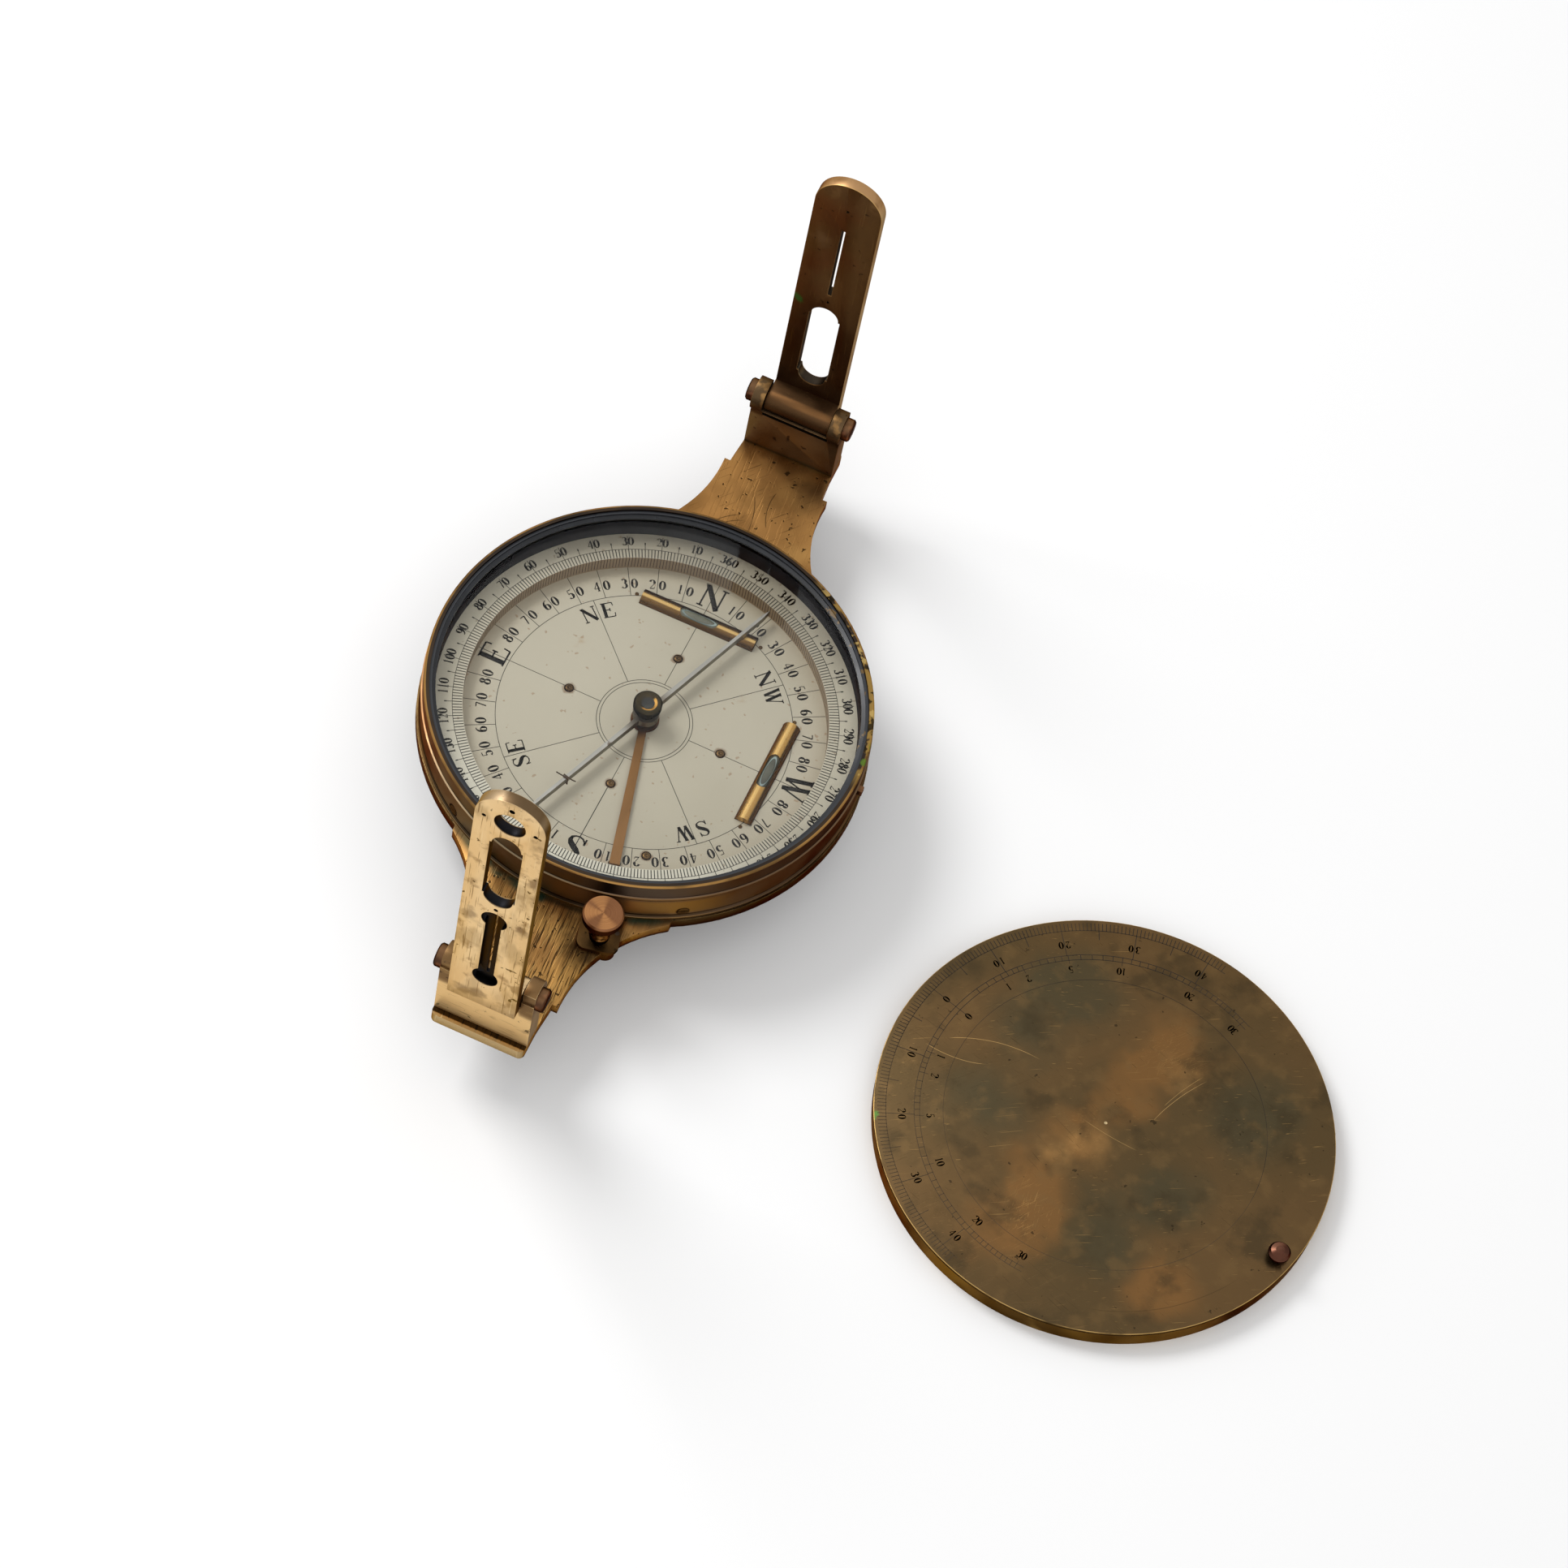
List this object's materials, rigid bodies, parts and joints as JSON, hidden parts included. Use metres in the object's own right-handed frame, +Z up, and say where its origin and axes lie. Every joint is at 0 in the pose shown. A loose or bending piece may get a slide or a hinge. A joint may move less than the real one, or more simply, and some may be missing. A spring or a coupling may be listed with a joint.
{
  "type": "surveyors compass",
  "caption": "Old brass surveyor's compass: round glazed box with silvered dial, long needle and lifter, level tubes, two-armed plate with folding slit sights, staff socket and loose cover.",
  "frame": {"origin": "middle of the mouth of the staff socket, the lowest level of the instrument", "axes": "+Z up, square to the dial; +Y along the arms to the north sight; +X to the dial's west, where the loose cover lies"},
  "size_m": [0.3242, 0.2502, 0.16],
  "materials": {
    "arm_brass": "worn and scratched, old lacquer gone",
    "wall_brass": "dark brown patina, golden where rubbed",
    "dark_brass": "dark bronze patina",
    "pale_brass": "pale worn gold with grey smudges",
    "level_brass": "bright polished",
    "cover_brass": "olive patina, engraved",
    "copper_brass": "copper-coloured, turned",
    "silvered_dial": "silvered, matt",
    "blackened_ring": "glossy black",
    "steel": "blue-grey, filed",
    "screw_steel": "dull",
    "glass": "clear, slightly grimy",
    "vial_glass": "grey-green spirit under glass",
    "jewel": "polished agate"
  },
  "bodies": {
    "compass": {"main_plate": "arm_brass", "box_wall": "wall_brass", "wall_pin": "dark_brass", "wall_screws": "dark_brass", "glass": "glass", "glass_ring": "blackened_ring", "dial_plate": "silvered_dial", "degree_ring": "silvered_dial", "dial_screws": "copper_brass", "pivot_post": "level_brass", "pivot_pin": "steel", "north_level_tube": "level_brass", "north_level_vial": "vial_glass", "west_level_tube": "level_brass", "west_level_vial": "vial_glass", "level_pins": "copper_brass", "lifter_pivot_pin": "screw_steel", "lifter_bridge": "dark_brass", "bridge_screw": "screw_steel", "north_hinge_block": "dark_brass", "south_hinge_block": "pale_brass", "block_screws": "screw_steel", "north_hinge_pin": "dark_brass", "south_hinge_pin": "dark_brass", "staff_socket": "arm_brass", "socket_screws": "screw_steel"},
    "north_sight": {"north_sight": "dark_brass"},
    "south_sight": {"south_sight": "pale_brass"},
    "lifter_screw": {"lifter_screw": "screw_steel"},
    "lifter_knob": {"lifter_knob": "copper_brass"},
    "lifter_lever": {"lifter_lever": "copper_brass"},
    "lift_collar": {"lift_collar": "copper_brass"},
    "needle": {"needle_bar": "steel", "needle_cap": "dark_brass", "cap_jewel": "jewel", "balance_coil": "screw_steel"},
    "clamp_screw": {"clamp_screw": "screw_steel"},
    "clamp_knob": {"clamp_knob": "level_brass"},
    "cover": {"cover_plate": "cover_brass", "cover_skirt": "cover_brass", "cover_knob": "copper_brass"}
  },
  "joints": [
    {"name": "north_sight_fold", "type": "hinge", "parent": "compass", "child": "north_sight", "pos_m": [0, 0.1171, 0.0492], "axis": [1, 0, 0], "range_deg": [0, 90]},
    {"name": "south_sight_fold", "type": "hinge", "parent": "compass", "child": "south_sight", "pos_m": [0, -0.1171, 0.0492], "axis": [-1, 0, 0], "range_deg": [0, 90]},
    {"name": "lifter_screw_travel", "type": "slide", "parent": "compass", "child": "lifter_screw", "axis": [0, 0, -1], "range_m": [0, 0.0008]},
    {"name": "lifter_knob_turn", "type": "hinge", "parent": "lifter_screw", "child": "lifter_knob", "pos_m": [0.0196, -0.07859, 0.036], "axis": [0, 0, -1], "range_deg": [0, 360]},
    {"name": "lifter_lever_rock", "type": "hinge", "parent": "compass", "child": "lifter_lever", "pos_m": [0.01089, -0.04366, 0.0249], "axis": [0.9703, 0.2419, 0], "range_deg": [0, 1.32]},
    {"name": "lift_collar_travel", "type": "slide", "parent": "compass", "child": "lift_collar", "axis": [0, 0, 1], "range_m": [0, 0.0011]},
    {"name": "needle_turn", "type": "hinge", "parent": "lift_collar", "child": "needle", "pos_m": [0, 0, 0.032], "axis": [0, 0, 1], "continuous": true},
    {"name": "clamp_screw_travel", "type": "slide", "parent": "compass", "child": "clamp_screw", "axis": [1, 0, 0], "range_m": [0, 0.001]},
    {"name": "clamp_knob_turn", "type": "hinge", "parent": "clamp_screw", "child": "clamp_knob", "pos_m": [-0.023, 0, 0.008], "axis": [1, 0, 0], "range_deg": [0, 360]},
    {"name": "cover_lift", "type": "slide", "parent": "compass", "child": "cover", "axis": [0, 0, 1], "range_m": [0, 0.05]}
  ],
  "couplings": [
    {"joint": "lifter_screw_travel", "follows": "lifter_knob_turn", "m_per_rad": 0.00012732},
    {"joint": "lifter_lever_rock", "follows": "lifter_knob_turn", "ratio": 0.0036556},
    {"joint": "lift_collar_travel", "follows": "lifter_knob_turn", "m_per_rad": 0.00017507},
    {"joint": "clamp_screw_travel", "follows": "clamp_knob_turn", "m_per_rad": 0.00015915}
  ]
}
